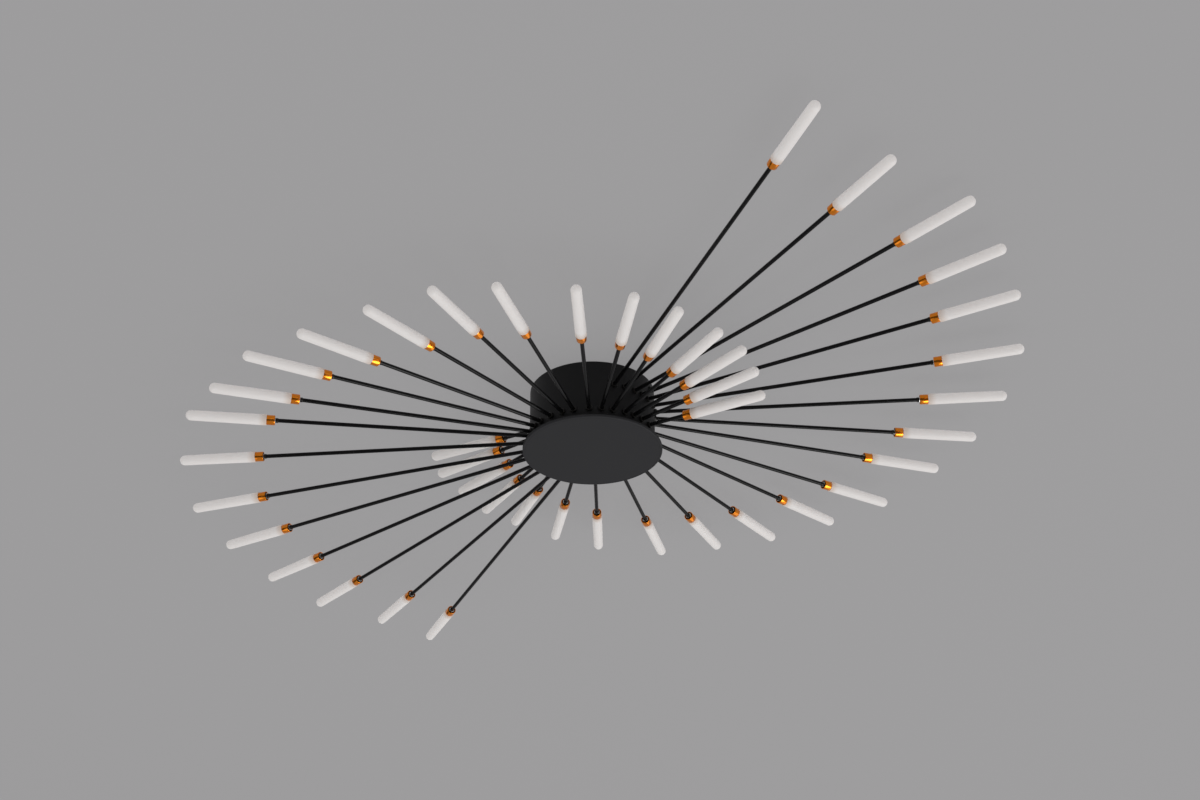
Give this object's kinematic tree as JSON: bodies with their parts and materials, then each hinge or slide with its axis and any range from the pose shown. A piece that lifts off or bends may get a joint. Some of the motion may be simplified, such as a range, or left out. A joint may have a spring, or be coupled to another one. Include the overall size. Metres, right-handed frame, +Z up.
{
  "type": "ceiling light",
  "caption": "Flush ceiling light: slim frosted tube lamps in copper caps on black rods that fan out of a round dark canopy in two spiral tiers.",
  "frame": {"origin": "the middle of the ceiling bracket's top face, which lies on the ceiling", "axes": "+Z up into the ceiling, +X along the bracket and through its two slots; the light hangs below z = 0"},
  "size_m": [1.1635, 0.9579, 0.086],
  "materials": {
    "zinc_steel": "bright zinc plate",
    "black_enamel": "near-black satin enamel",
    "charcoal_enamel": "matte charcoal enamel",
    "black_rod": "black satin enamel on steel rod",
    "black_nut": "blackened steel",
    "black_screw": "blackened steel screw",
    "polished_copper": "polished orange copper plate",
    "frosted_acrylic": "frosted, slightly warm white",
    "board_laminate": "white solder mask on laminate",
    "terminal_nylon": "natural nylon",
    "driver_plastic": "white moulded plastic"
  },
  "bodies": {
    "canopy": {"ceiling_bracket": "zinc_steel", "canopy_drum": "black_enamel", "cover_disc": "charcoal_enamel", "cover_nuts": "zinc_steel", "earth_screw": "zinc_steel", "terminal_block": "terminal_nylon", "led_driver": "driver_plastic", "driver_screws": "zinc_steel", "lower_rod_nuts": "black_nut", "lower_lamp_caps": "polished_copper", "lower_diffusers": "frosted_acrylic", "lower_led_boards": "board_laminate", "lower_rod_01": "black_rod", "lower_rod_02": "black_rod", "lower_rod_03": "black_rod", "lower_rod_04": "black_rod", "lower_rod_05": "black_rod", "lower_rod_06": "black_rod", "lower_rod_07": "black_rod", "lower_rod_08": "black_rod", "lower_rod_09": "black_rod", "lower_rod_10": "black_rod", "lower_rod_11": "black_rod", "lower_rod_12": "black_rod", "lower_rod_13": "black_rod", "lower_rod_14": "black_rod", "lower_rod_15": "black_rod", "lower_rod_16": "black_rod", "lower_rod_17": "black_rod", "lower_rod_18": "black_rod", "lower_rod_19": "black_rod", "lower_rod_20": "black_rod", "lower_rod_21": "black_rod", "upper_rod_nuts": "black_nut", "upper_lamp_caps": "polished_copper", "upper_diffusers": "frosted_acrylic", "upper_led_boards": "board_laminate", "upper_rod_01": "black_rod", "upper_rod_02": "black_rod", "upper_rod_03": "black_rod", "upper_rod_04": "black_rod", "upper_rod_05": "black_rod", "upper_rod_06": "black_rod", "upper_rod_07": "black_rod", "upper_rod_08": "black_rod", "upper_rod_09": "black_rod", "upper_rod_10": "black_rod", "upper_rod_11": "black_rod", "upper_rod_12": "black_rod", "upper_rod_13": "black_rod", "upper_rod_14": "black_rod", "upper_rod_15": "black_rod", "upper_rod_16": "black_rod", "upper_rod_17": "black_rod", "upper_rod_18": "black_rod", "upper_rod_19": "black_rod", "upper_rod_20": "black_rod", "upper_rod_21": "black_rod"},
    "screw_a": {"canopy_screw_a": "black_screw"},
    "screw_b": {"canopy_screw_b": "black_screw"}
  },
  "joints": [
    {"name": "screw_a_turn", "type": "hinge", "parent": "canopy", "child": "screw_a", "pos_m": [0, 0, -0.012], "axis": [1, 0, 0], "continuous": true},
    {"name": "screw_b_turn", "type": "hinge", "parent": "canopy", "child": "screw_b", "pos_m": [0, 0, -0.012], "axis": [-1, 0, 0], "continuous": true}
  ]
}
